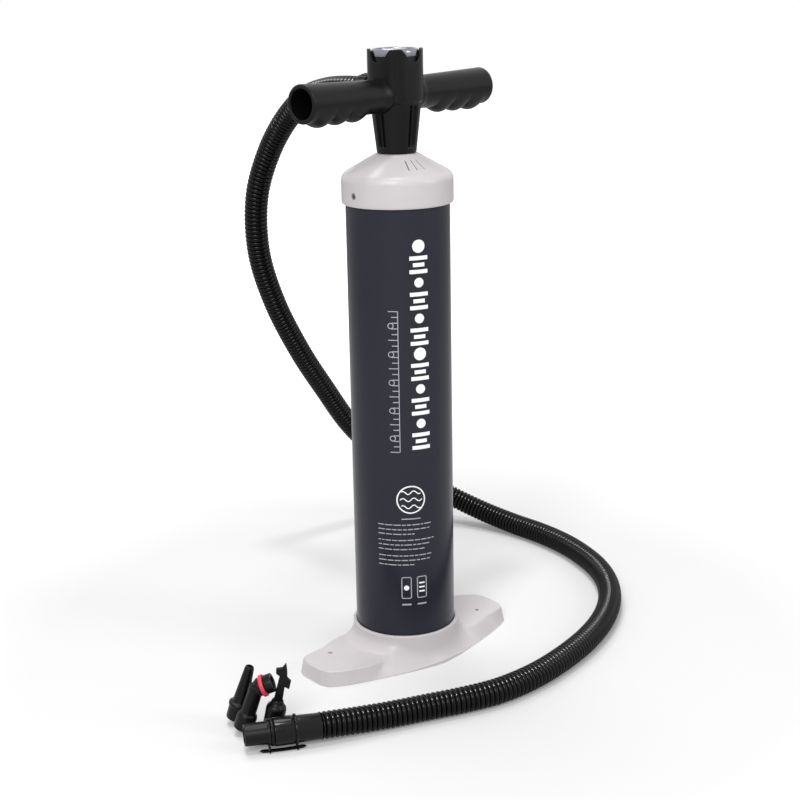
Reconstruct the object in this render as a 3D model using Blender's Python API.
"""Double action hand pump: foot, barrel, cap, piston rod with handle, pressure gauge, hose and nozzles.

Metres, +Z up. The origin is the centre of the foot's underside, X runs along the foot.
"""
import math

import bmesh
import bpy
from mathutils import Matrix, Vector

# ---- driving dimensions, in metres -------------------------------------------------------------
GAP = 0.0003                 # clearance between neighbouring pieces
BARREL_RADIUS = 0.0450       # outside of the barrel tube
BARREL_BORE = 0.0427         # inside radius of the barrel tube
COLLAR_TOP = 0.0300          # top of the foot's collar round the barrel
FOOT_BORE_FLOOR = 0.0120     # where the barrel stands in the foot
RIM_Z = 0.4145               # lower rim of the cap
BARREL_TOP = 0.4340
CAP_RADIUS = 0.0482
CONE_TOP = 0.4565            # flat top of the cap, where the handle's neck comes to rest
ROD_RADIUS = 0.0110
ROD_BORE = 0.0085
HANDLE_Z = 0.5050            # axis of the two handle arms
PORT_Z = 0.5075              # axis of the hose port
HANDLE_TURN = math.radians(7.0)   # how far the handle stands turned from the foot
ARM_REACH = 0.1100           # from the pump's axis to the open end of an arm
ARM_ROOT_RADIUS = 0.0138
ARM_END_RADIUS = 0.0158
ARM_WALL = 0.0027
SCALLOP_START = 0.0425
SCALLOP_PITCH = 0.0200       # one finger
SCALLOP_DEPTH = 0.0045
HUB_HALF = 0.0218            # middle of a hub face to the axis
HUB_SQUARENESS = 2.6         # power of the hub's rounded square
HUB_BOTTOM = 0.4990
HUB_TOP = 0.5430
SCOOP_RADIUS = 0.0125        # hollows cut into the four sides of the hub's rim
GAUGE_RADIUS = 0.0200
HOSE_RADIUS = 0.0113
HOSE_START = 0.0403          # hose's upper end, measured from the pump's axis
CUFF_START = (-0.1712, -0.0930)   # where the hose's lower end meets its cuff, on the floor
NOZZLE_MOUTH = (-0.2269, -0.0646)
HOSE_FLOOR_Z = HOSE_RADIUS + GAP
NOZZLE_Z = 0.0142            # axis of the cuff and nozzle, lying on the floor

# Route of the hose, from the hub's port down behind the barrel and round on the floor
HOSE_ROUTE = [
    (-0.0049, 0.0400, PORT_Z), (-0.0068, 0.0600, 0.5072), (-0.0070, 0.0850, 0.5048),
    (-0.0048, 0.1188, 0.4960), (-0.0018, 0.1524, 0.4770), (-0.0014, 0.1838, 0.4444),
    (-0.0016, 0.2078, 0.3990), (0.0088, 0.2244, 0.3420), (0.0320, 0.2350, 0.2870),
    (0.0686, 0.2450, 0.2270), (0.1070, 0.2540, 0.1755), (0.1465, 0.2600, 0.1245),
    (0.1865, 0.2560, 0.0840), (0.2225, 0.2400, 0.0530), (0.2490, 0.2120, 0.0310),
    (0.2650, 0.1760, 0.0180), (0.2735, 0.1380, 0.0122), (0.2755, 0.0970, HOSE_FLOOR_Z),
    (0.2722, 0.0610, HOSE_FLOOR_Z), (0.2632, 0.0250, HOSE_FLOOR_Z), (0.2482, -0.0115, HOSE_FLOOR_Z),
    (0.2262, -0.0450, HOSE_FLOOR_Z), (0.1975, -0.0745, HOSE_FLOOR_Z), (0.1605, -0.1005, HOSE_FLOOR_Z),
    (0.1155, -0.1215, HOSE_FLOOR_Z), (0.0635, -0.1365, HOSE_FLOOR_Z), (0.0205, -0.1430, HOSE_FLOOR_Z),
    (-0.0190, -0.1420, HOSE_FLOOR_Z), (-0.0530, -0.1335, HOSE_FLOOR_Z),
    (-0.0790, -0.1245, HOSE_FLOOR_Z), (-0.1200, -0.1105, HOSE_FLOOR_Z + 0.0002),
    (-0.1709, -0.0929, NOZZLE_Z),
]
HOSE_STEP = 0.045            # spacing of the tube's rings, two hose diameters
HOSE_END_STRAIGHT = 0.005    # last bit at each end, square to its fitting

# Spare adapters: they stand in a fan in one upright plane beside the nozzle. Each has the foot of its
# axis in the plane (across, up) and how far it leans over to the right.
FAN_FOOT = (-0.2096, -0.0391)
FAN_TURN = math.radians(-40.25)
CONE_FOOT, CONE_LEAN = (-0.0084, 0.0178, 0.0050), math.radians(16.2)
STUB_FOOT, STUB_LEAN = (-0.0007, 0.0, 0.0050), math.radians(19.2)
BLADE_FOOT, BLADE_LEAN = (0.0235, 0.0, 0.0050), math.radians(12.5)
ELBOW_PLACE, ELBOW_LEAN = (0.0176, 0.0, 0.0430), math.radians(69.6)


# ---- helpers -----------------------------------------------------------------------------------
def finish(name, colour, roughness, metallic=0.0):
    """A plain Principled material."""
    made = bpy.data.materials.new(name)
    made.use_nodes = True
    shader = made.node_tree.nodes["Principled BSDF"]
    shader.inputs["Base Color"].default_value = (*colour, 1.0)
    shader.inputs["Roughness"].default_value = roughness
    shader.inputs["Metallic"].default_value = metallic
    return made


def add(name, bm, material, parent=None, location=(0, 0, 0), rotation=(0, 0, 0)):
    """Turn a bmesh into a named, smooth-shaded object."""
    bmesh.ops.remove_doubles(bm, verts=bm.verts, dist=1e-6)
    bmesh.ops.recalc_face_normals(bm, faces=bm.faces)
    mesh = bpy.data.meshes.new(name)
    bm.to_mesh(mesh)
    bm.free()
    mesh.shade_smooth()
    mesh.set_sharp_from_angle(angle=math.radians(35))
    made = bpy.data.objects.new(name, mesh)
    bpy.context.collection.objects.link(made)
    if material:
        mesh.materials.append(material)
    made.parent = parent
    made.location = location
    made.rotation_euler = rotation
    return made


def empty(name, parent=None, location=(0, 0, 0), rotation=(0, 0, 0)):
    made = bpy.data.objects.new(name, None)
    made.empty_display_size = 0.02
    made.parent = parent
    made.location = location
    made.rotation_euler = rotation
    bpy.context.collection.objects.link(made)
    return made


def turned(name, profile, material, sides=24, **place):
    """Turn a closed (radius, height) profile about local Z. A profile may start and end on the axis."""
    bm = bmesh.new()
    points = [bm.verts.new((radius, 0.0, height)) for radius, height in profile]
    edges = [bm.edges.new(pair) for pair in zip(points, points[1:])]
    if profile[0][0] > 0.0 or profile[-1][0] > 0.0:
        edges.append(bm.edges.new((points[-1], points[0])))
    bmesh.ops.spin(bm, geom=points + edges, axis=(0, 0, 1), cent=(0, 0, 0),
                   angle=2 * math.pi, steps=sides, use_merge=True)
    return add(name, bm, material, **place)


def ring(outer, inner, low, high):
    """Profile of a plain ring or tube."""
    return [(inner, low), (outer, low), (outer, high), (inner, high)]


def rod(radius, low, high):
    """Profile of a plain solid cylinder."""
    return [(0.0, low), (radius, low), (radius, high), (0.0, high)]


def round_ring(middle, section, height, corners=6):
    """Profile of an O-ring."""
    return [(middle + section * math.cos(2 * math.pi * k / corners),
             height + section * math.sin(2 * math.pi * k / corners)) for k in range(corners)]


def pegs(name, radius, start, end, places, sides=12, parent=None):
    """Several parallel cylinders in one cutter, each at its own matrix in places."""
    bm = bmesh.new()
    for place in places:
        middle = Matrix.Translation((0, 0, (start + end) / 2))
        bmesh.ops.create_cone(bm, cap_ends=True, segments=sides, radius1=radius, radius2=radius,
                              depth=end - start, matrix=place @ middle)
    return add(name, bm, None, parent=parent)


def bar(name, size, material=None, turn=None, **place):
    """A block of the given size, its centre at its origin."""
    bm = bmesh.new()
    bmesh.ops.create_cube(bm, size=1.0, matrix=Matrix.Diagonal((*size, 1.0)))
    if turn:
        bmesh.ops.transform(bm, matrix=turn, verts=bm.verts)
    return add(name, bm, material, **place)


def shape(target, tool, operation):
    """Cut a tool out of a target or join it on, and keep the tool as a guide."""
    tool.display_type = "WIRE"
    tool.hide_render = True
    step = target.modifiers.new(tool.name, "BOOLEAN")
    step.operation = operation
    step.object = tool
    step.solver = "EXACT"


def around(count, radius, start=0.0):
    """Places on a circle about Z, each pointing up."""
    turns = [start + 2 * math.pi * k / count for k in range(count)]
    return [Matrix.Translation((radius * math.cos(a), radius * math.sin(a), 0.0)) for a in turns]


def spokes(count, height, start=0.0):
    """Places on the axis at one height, each pointing outwards."""
    turns = [start + 2 * math.pi * k / count for k in range(count)]
    lay = Matrix.Rotation(math.pi / 2, 4, "Y")
    return [Matrix.Translation((0, 0, height)) @ Matrix.Rotation(a, 4, "Z") @ lay for a in turns]


def aim(start, towards):
    """Rotation that points local Z from one place to another."""
    way = Vector(towards) - Vector(start)
    return way.to_track_quat("Z", "Y").to_euler()


def smooth_curve(points, per_span=24):
    """Centripetal Catmull-Rom curve through the points."""
    route = [Vector(p) for p in points]
    route = [2 * route[0] - route[1]] + route + [2 * route[-1] - route[-2]]
    out = []
    for a, b, c, d in zip(route, route[1:], route[2:], route[3:]):
        t1 = (b - a).length ** 0.5
        t2 = t1 + (c - b).length ** 0.5
        t3 = t2 + (d - c).length ** 0.5
        for k in range(per_span):
            t = t1 + (t2 - t1) * k / per_span
            ab = a.lerp(b, t / t1)
            bc = b.lerp(c, (t - t1) / (t2 - t1))
            cd = c.lerp(d, (t - t2) / (t3 - t2))
            abc = ab.lerp(bc, t / t2)
            bcd = bc.lerp(cd, (t - t1) / (t3 - t1))
            out.append(abc.lerp(bcd, (t - t1) / (t2 - t1)))
    out.append(route[-2])
    return out


def evenly(points, step):
    """The same curve with its points about one step apart."""
    lengths = [0.0]
    for a, b in zip(points, points[1:]):
        lengths.append(lengths[-1] + (b - a).length)
    count = max(2, round(lengths[-1] / step))
    out, k = [], 0
    for n in range(count + 1):
        wanted = lengths[-1] * n / count
        while k < len(points) - 2 and lengths[k + 1] < wanted:
            k += 1
        part = (wanted - lengths[k]) / (lengths[k + 1] - lengths[k])
        out.append(points[k].lerp(points[k + 1], part))
    return out


def tube(name, points, radius, material, resolution=2, parent=None):
    """A round bar along a list of points, with closed ends."""
    curve = bpy.data.curves.new(name, "CURVE")
    curve.dimensions = "3D"
    curve.bevel_depth = radius
    curve.bevel_resolution = resolution
    curve.use_fill_caps = True
    spline = curve.splines.new("POLY")
    spline.points.add(len(points) - 1)
    for point, place in zip(spline.points, points):
        point.co = (*place, 1.0)
    made = bpy.data.objects.new(name, curve)
    curve.materials.append(material)
    made.parent = parent
    bpy.context.collection.objects.link(made)
    return made


# ---- the object's groups -----------------------------------------------------------------------
def make_foot(base):
    """Foot plate with its collar, and the screws that hold the plug in the barrel's lower end."""
    quarter = [(0.1100, 0.0), (0.1100, 0.0130), (0.1065, 0.0215), (0.0960, 0.0277), (0.0800, 0.0338),
               (0.0640, 0.0388), (0.0480, 0.0432), (0.0320, 0.0476), (0.0160, 0.0513), (0.0, 0.0535)]
    outline = quarter + [(-x, y) for x, y in quarter[-2::-1]]
    outline += [(x, -y) for x, y in outline[-2:0:-1]]
    collar = BARREL_RADIUS + 0.0032
    count = len(outline)

    def level(height, inwards, circle, blend):
        """The outline drawn in by a distance, and blended towards a circle."""
        out = []
        for k, (x, y) in enumerate(outline):
            turn = 2 * math.pi * k / count
            reach = math.hypot(x, y)
            x, y = x * (1 - inwards / reach), y * (1 - inwards / reach)
            out.append((x + (circle * math.cos(turn) - x) * blend,
                        y + (circle * math.sin(turn) - y) * blend, height))
        return out

    levels = [level(0.0, 0.0, 0.0, 0.0), level(0.0110, 0.0, 0.0, 0.0), level(0.0130, 0.0025, 0.0, 0.0),
              level(0.0150, 0.0, collar + 0.0030, 0.8), level(0.0180, 0.0, collar, 1.0),
              level(COLLAR_TOP, 0.0, collar, 1.0)]
    bm = bmesh.new()
    rows = [[bm.verts.new(p) for p in points] for points in levels]
    for low, high in zip(rows, rows[1:]):
        for k in range(count):
            bm.faces.new((low[k], low[(k + 1) % count], high[(k + 1) % count], high[k]))
    bm.faces.new(rows[0][::-1])
    bm.faces.new(rows[-1])
    foot = add("foot", bm, PALE, parent=base)
    well = turned("foot_well_cutter", rod(BARREL_RADIUS + GAP, FOOT_BORE_FLOOR - GAP, 0.050), None, 64,
                  parent=base)
    shape(foot, well, "DIFFERENCE")
    shape(foot, turned("foot_inlet_cutter", rod(0.0120, -0.01, 0.020), None, 24, parent=base), "DIFFERENCE")
    channel = bar("foot_channel_cutter", (0.0160, 0.0600, 0.0120), parent=base, location=(0, 0.0380, 0))
    shape(foot, channel, "DIFFERENCE")
    holes = [Matrix.Translation((side * 0.0810, -side * 0.0100, 0)) for side in (1, -1)]
    shape(foot, pegs("foot_peg_cutter", 0.0022, -0.01, 0.03, holes, parent=base), "DIFFERENCE")
    screw_places = around(3, 0.0280, math.radians(30))
    shape(foot, pegs("foot_screw_cutter", 0.0024, -0.01, 0.02, screw_places, parent=base), "DIFFERENCE")
    shape(foot, pegs("foot_head_cutter", 0.0042, -0.01, 0.0060, screw_places, parent=base), "DIFFERENCE")
    for number, place in enumerate(screw_places, 1):
        profile = [(0.0, 0.0030), (0.0036, 0.0030), (0.0036, 0.0057), (0.0019, 0.0057),
                   (0.0019, 0.0190), (0.0, 0.0200)]
        turned(f"foot_screw_{number}", profile, STEEL, 12, parent=base, location=place.to_translation())
    return screw_places


def make_base_valve(base, valve_axis, screw_places):
    """Plug in the barrel's lower end, its seal, and the intake valve on its stem."""
    edge = BARREL_BORE - GAP
    profile = [(0.0022, 0.0123), (edge, 0.0123), (edge, 0.0150), (0.0400, 0.0150), (0.0400, 0.0180),
               (edge, 0.0180), (edge, 0.0200), (edge - 0.0020, 0.0220), (0.0022, 0.0220)]
    plug = turned("base_plug", profile, DARK, 32, parent=base)
    shape(plug, pegs("plug_inlet_cutter", 0.0027, 0.0, 0.03, around(6, 0.0085), parent=base), "DIFFERENCE")
    shape(plug, pegs("plug_screw_cutter", 0.0022, 0.0, 0.0203, screw_places, parent=base), "DIFFERENCE")
    turned("base_seal", round_ring(0.0414, 0.0011, 0.0165), RUBBER, 32, parent=base)
    stem = [(0.0, 0.0140), (0.0019, 0.0140), (0.0019, 0.0263), (0.0060, 0.0263), (0.0052, 0.0280),
            (0.0, 0.0283)]
    turned("base_valve_stem", stem, DARK, 12, parent=base)
    turned("base_valve_disc", ring(0.0160, 0.0024, 0.0223, 0.0238), RUBBER, parent=valve_axis)


def make_barrel(base):
    """Barrel tube with the two holes of the cap screws."""
    barrel = turned("barrel_tube", ring(BARREL_RADIUS, BARREL_BORE, FOOT_BORE_FLOOR, BARREL_TOP), SLATE, 48,
                    parent=base)
    screws = spokes(2, RIM_Z + 0.0095)
    shape(barrel, pegs("barrel_screw_cutter", 0.0017, 0.040, 0.060, screws, parent=base), "DIFFERENCE")


def make_cap(base, valve_axis):
    """Cap with its air slits and screws, cylinder head, upper valve, rod bush and rod seal."""
    inner = BARREL_RADIUS + GAP
    cap = [(inner, RIM_Z), (0.0466, RIM_Z), (0.0480, RIM_Z + 0.0008), (CAP_RADIUS, RIM_Z + 0.0030),
           (CAP_RADIUS, 0.4345), (0.0480, 0.4371), (0.0472, 0.4393), (0.0458, 0.4406),
           (0.0182, 0.4560), (0.0172, CONE_TOP), (0.0153, CONE_TOP), (0.0153, 0.4470),
           (0.0125, 0.4470), (0.0125, 0.4440), (0.0200, 0.4440), (0.0405, 0.4345), (inner, 0.4345)]
    body = turned("top_cap", cap, PALE, 40, parent=base)
    screws = spokes(2, RIM_Z + 0.0095)
    shape(body, pegs("cap_screw_cutter", 0.0017, 0.040, 0.060, screws, parent=base), "DIFFERENCE")
    shape(body, pegs("cap_head_cutter", 0.0029, 0.0468, 0.060, screws, parent=base), "DIFFERENCE")
    bm = bmesh.new()
    for group in range(3):
        for turn in (-11.3, 0.0, 11.3):
            place = Matrix.Rotation(math.radians(-103.0 + 120 * group + turn), 4, "Z")
            place @= Matrix.Translation((0.0312, 0.0, 0.4488))
            place @= Matrix.Rotation(math.radians(29.2), 4, "Y")
            place @= Matrix.Diagonal((0.0140, 0.0010, 0.0120, 1.0))
            bmesh.ops.create_cube(bm, size=1.0, matrix=place)
    shape(body, add("cap_slit_cutter", bm, None, parent=base), "DIFFERENCE")
    head = [(ROD_RADIUS + GAP, 0.4200), (0.0424, 0.4200), (0.0424, 0.4338), (0.0143, 0.4338),
            (0.0143, 0.4290), (ROD_RADIUS + GAP, 0.4290)]
    top = turned("cylinder_head", head, DARK, 32, parent=base)
    shape(top, pegs("head_hole_cutter", 0.0026, 0.41, 0.44, around(6, 0.0270), parent=base), "DIFFERENCE")
    shape(top, pegs("head_screw_cutter", 0.0017, 0.0350, 0.060, screws, parent=base), "DIFFERENCE")
    for number, place in enumerate(screws, 1):
        profile = [(0.0, 0.0360), (0.0014, 0.0370), (0.0014, 0.0471), (0.0025, 0.0471),
                   (0.0025, 0.0480), (0.0018, 0.0484), (0.0, 0.0484)]
        turned(f"cap_screw_{number}", profile, STEEL, 12, parent=base,
               location=place.to_translation(), rotation=place.to_euler())
    turned("rod_seal", ring(0.0140, ROD_RADIUS + GAP, 0.4293, 0.4335), RUBBER, parent=base)
    turned("rod_bush", ring(0.0150, ROD_RADIUS + GAP, 0.4473, CONE_TOP - 0.0004), BLACK, parent=base)
    clip = [(0.0150, 0.4140), (0.0230, 0.4140), (0.0230, 0.4155), (0.0185, 0.4155), (0.0185, 0.4197),
            (0.0150, 0.4197)]
    turned("head_valve_keeper", clip, DARK, 20, parent=base)
    turned("head_valve_ring", ring(0.0345, 0.0189, 0.4158, 0.4173), RUBBER, parent=valve_axis)


def make_rod_and_piston(slide, valve_axis):
    """Hollow rod, piston with its seal, screw and keeper, and the valve ring below it."""
    tube_of_rod = turned("piston_rod", ring(ROD_RADIUS, ROD_BORE, 0.0443, 0.4995), ROD_GREY, parent=slide)
    shape(tube_of_rod, pegs("rod_port_cutter", 0.0026, -0.02, 0.02, spokes(2, 0.0640, 0.3)[:1], parent=slide),
          "DIFFERENCE")
    insert = [(0.0, 0.0560), (0.0028, 0.0560), (0.0028, 0.0443), (0.0082, 0.0443), (0.0082, 0.0585),
              (0.0, 0.0585)]
    turned("rod_end_insert", insert, DARK, 16, parent=slide)
    edge = BARREL_BORE - 0.0006
    piston = [(0.0029, 0.0380), (edge, 0.0380), (edge, 0.0425), (0.0383, 0.0425), (0.0383, 0.0475),
              (edge, 0.0475), (edge, 0.0520), (edge - 0.0020, 0.0540), (ROD_RADIUS + GAP, 0.0540),
              (ROD_RADIUS + GAP, 0.0440), (0.0029, 0.0440)]
    head = turned("piston", piston, DARK, 32, parent=slide)
    shape(head, pegs("piston_hole_cutter", 0.0026, 0.03, 0.06, around(6, 0.0230), parent=slide), "DIFFERENCE")
    seal = [(0.0387, 0.0430), (0.0424, 0.0430), (0.0418, 0.0450), (0.0424, 0.0470), (0.0387, 0.0470)]
    turned("piston_seal", seal, RUBBER, 32, parent=slide)
    keeper = [(0.0029, 0.0320), (0.0140, 0.0320), (0.0140, 0.0337), (0.0055, 0.0337), (0.0055, 0.0377),
              (0.0029, 0.0377)]
    turned("piston_valve_keeper", keeper, DARK, 16, parent=slide)
    screw = [(0.0, 0.0293), (0.0048, 0.0293), (0.0050, 0.0317), (0.0025, 0.0317), (0.0025, 0.0550),
             (0.0, 0.0556)]
    turned("piston_screw", screw, STEEL, 12, parent=slide)
    turned("piston_valve_ring", ring(0.0310, 0.0060, 0.0340, 0.0355), RUBBER, parent=valve_axis)


def rounded_square(turn):
    """Radius of the hub's outline at an angle: a circle squared up towards its four faces."""
    power = HUB_SQUARENESS
    return HUB_HALF / (abs(math.cos(turn)) ** power + abs(math.sin(turn)) ** power) ** (1 / power)


def make_handle(slide):
    """Handle moulding: hub, neck and the two hollow, scalloped arms."""
    count = 48
    bottom = CONE_TOP + GAP
    levels = [(bottom, 0.0164), (bottom + 0.0010, 0.0170), (0.4960, 0.0213)]
    bm = bmesh.new()
    rows = [[bm.verts.new((radius * math.cos(2 * math.pi * k / count),
                           radius * math.sin(2 * math.pi * k / count), height)) for k in range(count)]
            for height, radius in levels]
    for height in (HUB_BOTTOM, HUB_TOP):
        outline = [(2 * math.pi * k / count, rounded_square(2 * math.pi * k / count)) for k in range(count)]
        rows.append([bm.verts.new((r * math.cos(a), r * math.sin(a), height)) for a, r in outline])
    for low, high in zip(rows, rows[1:]):
        for k in range(count):
            bm.faces.new((low[k], low[(k + 1) % count], high[(k + 1) % count], high[k]))
    bm.faces.new(rows[0][::-1])
    bm.faces.new(rows[-1])
    bmesh.ops.triangulate(bm, faces=bm.faces)
    handle = add("handle", bm, BLACK, parent=slide)

    for side, label in ((1, "right"), (-1, "left")):
        arm = bmesh.new()
        rings, sides = 22, 18
        rows = []
        for n in range(rings):
            along = 0.012 + (ARM_REACH - 0.012) * n / (rings - 1)
            part = max(0.0, (along - HUB_HALF) / (ARM_REACH - HUB_HALF))
            radius = ARM_ROOT_RADIUS + (ARM_END_RADIUS - ARM_ROOT_RADIUS) * part
            reach = along - SCALLOP_START
            grip = SCALLOP_DEPTH * abs(math.sin(math.pi * reach / SCALLOP_PITCH)) ** 0.7
            grip = grip if 0.0 <= reach <= 3 * SCALLOP_PITCH else 0.0
            row = []
            for k in range(sides):
                turn = 2 * math.pi * (k + 0.5) / sides
                low = max(0.0, -math.sin(turn)) ** 3
                swell = radius + grip * low
                row.append(arm.verts.new((along, swell * math.cos(turn), HANDLE_Z + swell * math.sin(turn))))
            rows.append(row)
        for low, high in zip(rows, rows[1:]):
            for k in range(sides):
                arm.faces.new((low[k], low[(k + 1) % sides], high[(k + 1) % sides], high[k]))
        arm.faces.new(rows[0][::-1])
        arm.faces.new(rows[-1])
        bmesh.ops.triangulate(arm, faces=arm.faces)
        if side < 0:
            bmesh.ops.transform(arm, matrix=Matrix.Rotation(math.pi, 4, "Z"), verts=arm.verts)
        shape(handle, add(f"arm_{label}_guide", arm, None, parent=slide), "UNION")
    back = (-math.pi / 2, 0, 0)
    boss = turned("port_boss_guide", rod(0.0130, 0.0150, 0.0260), None, 32, parent=slide,
                  location=(0, 0, PORT_Z), rotation=back)
    shape(handle, boss, "UNION")
    shape(handle, turned("handle_rod_cutter", rod(ROD_RADIUS + GAP, 0.44, 0.5155), None, 32, parent=slide),
          "DIFFERENCE")
    pocket = rod(GAUGE_RADIUS + GAP, 0.5200, 0.56)
    shape(handle, turned("handle_pocket_cutter", pocket, None, 48, parent=slide), "DIFFERENCE")
    shape(handle, turned("gauge_feed_cutter", rod(0.0015, 0.51, 0.53), None, 10, parent=slide), "DIFFERENCE")
    port = turned("handle_port_cutter", rod(0.0098, 0.0050, 0.05), None, 24, parent=slide,
                  location=(0, 0, PORT_Z), rotation=back)
    shape(handle, port, "DIFFERENCE")
    for side, label in ((1, "right"), (-1, "left")):
        hollow = turned(f"arm_{label}_cutter", rod(ARM_END_RADIUS - ARM_WALL, 0.0400, 0.13), None, 24,
                        parent=slide, location=(0, 0, HANDLE_Z), rotation=(0, side * math.pi / 2, 0))
        shape(handle, hollow, "DIFFERENCE")
    for turn, label in ((0.0, "side"), (math.pi / 2, "front")):
        scoop = turned(f"hub_scoop_{label}_cutter", rod(SCOOP_RADIUS, -0.05, 0.05), None, 32, parent=slide,
                       location=(0, 0, 0.5450), rotation=(math.pi / 2, 0, turn))
        shape(handle, scoop, "DIFFERENCE")
    turned("rod_pin", rod(0.0020, -0.0160, 0.0160), STEEL, 12, parent=slide,
           location=(0, 0, 0.4800), rotation=(0, math.pi / 2, 0))
    hole = turned("rod_pin_cutter", rod(0.0023, -0.03, 0.03), None, 12, parent=slide,
                  location=(0, 0, 0.4800), rotation=(0, math.pi / 2, 0))
    shape(handle, hole, "DIFFERENCE")
    shape(bpy.data.objects["piston_rod"], hole, "DIFFERENCE")


def make_gauge(slide, needle_axis):
    """Pressure gauge in the hub's top: case, bezel, lens, dial, bourdon tube and needle."""
    case = [(0.0015, 0.5203), (0.0199, 0.5203), (0.0199, 0.5365), (0.0184, 0.5365), (0.0184, 0.5225),
            (0.0015, 0.5225)]
    turned("gauge_case", case, BLACK, 32, parent=slide)
    bezel = [(0.0187, 0.5368), (GAUGE_RADIUS, 0.5368), (GAUGE_RADIUS, 0.5410), (0.0192, 0.5425),
             (0.0178, 0.5431), (0.0168, 0.5425), (0.0168, 0.5405), (0.0187, 0.5405)]
    turned("gauge_bezel", bezel, CHROME, 32, parent=slide)
    lens = [(0.0, 0.5373), (0.0183, 0.5373), (0.0183, 0.5401), (0.0165, 0.5401), (0.0165, 0.5415),
            (0.0110, 0.5424), (0.0, 0.5428)]
    turned("gauge_lens", lens, CLEAR, 32, parent=slide)
    turned("gauge_dial", ring(0.0181, 0.0013, 0.5310, 0.5318), DIAL, 32, parent=slide)
    arc = [Vector((0.0120 * math.cos(a), 0.0120 * math.sin(a), 0.5268))
           for a in (math.radians(-42 + 18 * k) for k in range(15))]
    tube("gauge_bourdon_tube", arc, 0.0016, BRASS, parent=slide)
    bar("gauge_socket", (0.0060, 0.0050, 0.0050), BRASS, parent=slide, location=(0.0030, -0.0145, 0.5257))
    needle = bar("gauge_needle", (0.0019, 0.0210, 0.0006), RED, parent=needle_axis,
                 location=(0, 0.0042, 0.5334))
    arbor = turned("needle_arbor_guide", rod(0.0010, 0.5250, 0.5345), None, 12, parent=needle_axis)
    shape(needle, arbor, "UNION")


def make_port(slide, nut_axis):
    """Spigot in the back of the hub and the nut that holds the hose on it."""
    back = (-math.pi / 2, 0, 0)
    turned("hose_spigot", ring(0.0094, 0.0070, 0.0135, HOSE_START - GAP), BLACK, 24, parent=slide,
           location=(0, 0, PORT_Z), rotation=back)
    nut = [(0.0097, 0.0263), (0.0142, 0.0263), (0.0142, 0.0345), (0.0126, 0.0365), (0.0126, 0.0400),
           (0.0097, 0.0400)]
    turned("hose_nut", nut, BLACK, 24, parent=nut_axis)


def make_hose_end(base, nozzle_axis):
    """Hose with its lower cuff, the nozzle that turns in the cuff, and the strap round both."""
    start, mouth = Vector((*CUFF_START, 0)), Vector((*NOZZLE_MOUTH, 0))
    rings = evenly(smooth_curve(HOSE_ROUTE), HOSE_STEP)
    port_way = Vector((-math.sin(HANDLE_TURN), math.cos(HANDLE_TURN), 0))
    rings.insert(1, rings[0] + port_way * HOSE_END_STRAIGHT)
    rings.insert(-1, rings[-1] - (mouth - start).normalized() * HOSE_END_STRAIGHT)
    tube("hose_tube", rings, HOSE_RADIUS, BLACK, resolution=2, parent=base)
    length = (mouth - start).length
    lie = aim(start, mouth)
    place = (*CUFF_START, NOZZLE_Z)
    cuff = [(0.0070, 0.0003), (0.0110, 0.0003), (0.0112, 0.0240), (0.0118, 0.0250), (0.0118, 0.0385),
            (0.0096, 0.0385), (0.0096, 0.0230), (0.0070, 0.0230)]
    turned("hose_cuff", cuff, BLACK, 24, parent=base, location=place, rotation=lie)
    nozzle = [(0.0065, 0.0233), (0.0093, 0.0233), (0.0093, 0.0388), (0.0113, 0.0388), (0.0113, 0.0415),
              (0.0096, 0.0415), (0.0088, length), (0.0068, length), (0.0065, length - 0.0010)]
    turned("nozzle", nozzle, BLACK, 24, parent=nozzle_axis)
    # strap: a thin strip under the cuff, with a ring round the cuff and one round the nozzle
    strap_axis = empty("strap_axis", base, place, lie)
    strip = bar("adapter_strap", (0.0030, 0.0018, 0.0385), BLACK, parent=strap_axis,
                location=(0.0065, -0.0125, 0.0320))
    for label, spot, bore, rim, top in (("cuff", 0.0205, 0.0115, 0.0127, 0.0106),
                                        ("nozzle", 0.0430, 0.0099, 0.0112, 0.0094)):
        hoop = turned(f"strap_{label}_ring_guide", ring(rim, bore, spot - 0.0011, spot + 0.0011), None, 24,
                      parent=strap_axis)
        shape(strip, hoop, "UNION")
        peg = bar(f"strap_{label}_peg_guide", (0.0065, 0.0130 - top, 0.0020), parent=strap_axis,
                  location=(0.0082, -(top + 0.0130) / 2, spot))
        shape(strip, peg, "UNION")


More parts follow.
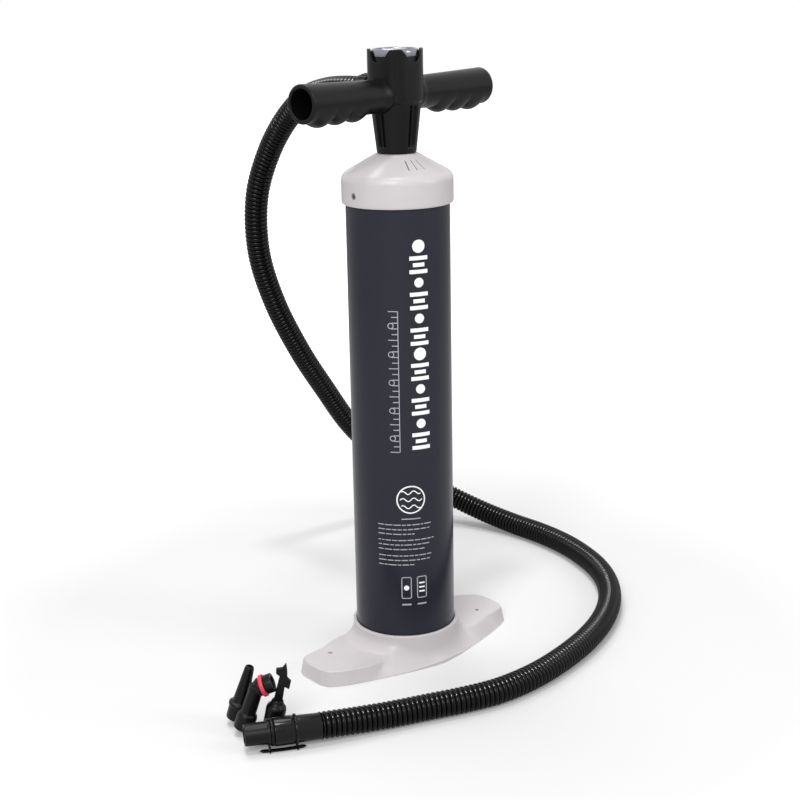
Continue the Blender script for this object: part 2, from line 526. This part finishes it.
def make_adapters(base):
    """Spare adapters: long cone, elbow stub with its red gasket, and a two-lug blade."""
    fan = empty("adapter_fan", base, (*FAN_FOOT, 0.0), (0, 0, FAN_TURN))
    cone_axis = empty("adapter_cone_axis", fan, CONE_FOOT, (0, CONE_LEAN, 0))
    cone = [(0.0068, 0.0), (0.0086, 0.0), (0.0086, 0.0120), (0.0094, 0.0130), (0.0094, 0.0150),
            (0.0066, 0.0162), (0.0040, 0.0475), (0.0032, 0.0490), (0.0020, 0.0490), (0.0020, 0.0150),
            (0.0068, 0.0115)]
    turned("adapter_cone", cone, BLACK, 16, parent=cone_axis)

    stub_axis = empty("adapter_stub_axis", fan, STUB_FOOT, (0, STUB_LEAN, 0))
    elbow_axis = empty("adapter_elbow_axis", fan, ELBOW_PLACE, (0, ELBOW_LEAN, 0))
    stub = [(0.0066, 0.0), (0.0084, 0.0), (0.0084, 0.0120), (0.0064, 0.0140), (0.0060, 0.0400),
            (0.0000, 0.0400), (0.0000, 0.0385), (0.0044, 0.0380), (0.0044, 0.0130), (0.0066, 0.0110)]
    body = turned("adapter_stub", stub, BLACK, 16, parent=stub_axis)
    head = [(0.0, -0.0075), (0.0060, -0.0070), (0.0078, -0.0040), (0.0078, -0.0020), (0.0046, -0.0020),
            (0.0046, 0.0020), (0.0080, 0.0020), (0.0080, 0.0085), (0.0, 0.0085)]
    shape(body, turned("elbow_head_guide", head, None, 20, parent=elbow_axis), "UNION")
    turned("adapter_gasket", ring(0.0093, 0.0049, -0.0016, 0.0016), RED, 20, parent=elbow_axis)

    blade_axis = empty("adapter_blade_axis", fan, BLADE_FOOT, (0, BLADE_LEAN, 0))
    socket = [(0.0066, 0.0), (0.0084, 0.0), (0.0084, 0.0220), (0.0060, 0.0250), (0.0046, 0.0290),
              (0.0, 0.0290), (0.0, 0.0130), (0.0066, 0.0110)]
    key = turned("adapter_bayonet", socket, BLACK, 16, parent=blade_axis)
    shape(key, bar("blade_stem_guide", (0.0050, 0.0030, 0.0360), parent=blade_axis,
                   location=(0.0005, 0, 0.0400)), "UNION")
    for label, size, spot in (("left", (0.0050, 0.0060, 0.0030), (-0.0040, 0, 0.0510)),
                              ("right", (0.0050, 0.0060, 0.0080), (0.0050, 0, 0.0420))):
        shape(key, bar(f"blade_{label}_lug_guide", size, parent=blade_axis, location=spot), "UNION")


# ---- build -------------------------------------------------------------------------------------
for item in list(bpy.data.objects):
    bpy.data.objects.remove(item, do_unlink=True)

SLATE = finish("barrel lacquered aluminium", (0.045, 0.052, 0.064), 0.30, 0.0)
PALE = finish("cap and foot moulded ABS", (0.66, 0.63, 0.64), 0.40)
BLACK = finish("handle moulded polypropylene", (0.018, 0.018, 0.019), 0.42)
DARK = finish("inner moulded nylon", (0.05, 0.05, 0.055), 0.50)
ROD_GREY = finish("rod drawn aluminium", (0.62, 0.63, 0.65), 0.28, 1.0)
STEEL = finish("zinc plated steel", (0.55, 0.54, 0.52), 0.35, 1.0)
CHROME = finish("bezel chrome plate", (0.80, 0.80, 0.82), 0.12, 1.0)
BRASS = finish("gauge brass", (0.65, 0.48, 0.20), 0.35, 1.0)
CLEAR = finish("gauge lens acrylic", (0.90, 0.92, 0.93), 0.05)
DIAL = finish("gauge dial enamel", (0.85, 0.85, 0.84), 0.45)
RED = finish("red silicone", (0.60, 0.02, 0.04), 0.45)
RUBBER = finish("seal rubber", (0.03, 0.03, 0.03), 0.70)

pump_base = empty("pump_base")
handle_slide = empty("handle_slide", rotation=(0, 0, HANDLE_TURN))
base_valve_axis = empty("base_valve_axis")
head_valve_axis = empty("head_valve_axis")
piston_valve_axis = empty("piston_valve_axis", handle_slide)
gauge_needle_axis = empty("gauge_needle_axis", handle_slide)
hose_nut_axis = empty("hose_nut_axis", handle_slide, (0, 0, PORT_Z), (-math.pi / 2, 0, 0))
nozzle_turn_axis = empty("nozzle_turn_axis", location=(*CUFF_START, NOZZLE_Z),
                         rotation=aim((*CUFF_START, 0), (*NOZZLE_MOUTH, 0)))

foot_screw_places = make_foot(pump_base)
make_base_valve(pump_base, base_valve_axis, foot_screw_places)
make_barrel(pump_base)
make_cap(pump_base, head_valve_axis)
make_rod_and_piston(handle_slide, piston_valve_axis)
make_handle(handle_slide)
make_gauge(handle_slide, gauge_needle_axis)
make_port(handle_slide, hose_nut_axis)
make_hose_end(pump_base, nozzle_turn_axis)
make_adapters(pump_base)
